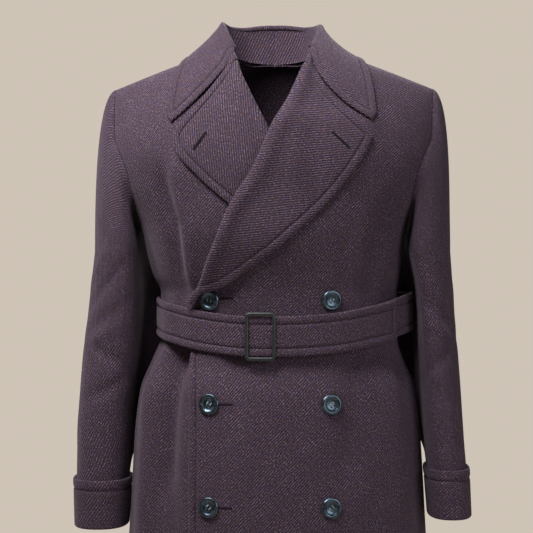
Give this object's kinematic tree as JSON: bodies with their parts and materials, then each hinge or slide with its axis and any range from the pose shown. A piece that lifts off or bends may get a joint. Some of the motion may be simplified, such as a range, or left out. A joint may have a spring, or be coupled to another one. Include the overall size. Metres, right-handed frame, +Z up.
{
  "type": "overcoat",
  "caption": "Belted double-breasted wool twill overcoat in its worn, hollow form, with wide lapels, turned-back cuffs, horn buttons and a self-cloth belt with a covered buckle.",
  "frame": {"origin": "base of the wearer's neck, midway between the tops of the two shoulder seams", "axes": "+Z up, +X to the wearer's left, the front of the coat faces -Y"},
  "size_m": [0.5812, 0.3919, 1.1461],
  "materials": {
    "wool_twill": "heavy napped wool twill, dark aubergine",
    "wool_facing": "the same wool twill on the turned-back pieces",
    "horn": "polished dark horn",
    "buckle_cover": "dark covered frame, semi-gloss"
  },
  "bodies": {
    "root": {"back_left": "wool_twill", "back_right": "wool_twill", "front_left": "wool_twill", "front_right": "wool_twill", "lapel_left": "wool_facing", "lapel_right": "wool_facing", "collar_fall": "wool_facing", "collar_stand": "wool_facing", "sleeve_left_top": "wool_twill", "sleeve_left_under": "wool_twill", "sleeve_right_top": "wool_twill", "sleeve_right_under": "wool_twill", "cuff_left": "wool_facing", "cuff_right": "wool_facing", "belt_base": "wool_twill", "belt_strap": "wool_twill", "buckle": "buckle_cover", "button_left_1": "horn", "button_left_2": "horn", "button_left_3": "horn", "button_right_1": "horn", "button_right_2": "horn", "button_right_3": "horn"}
  },
  "joints": []
}
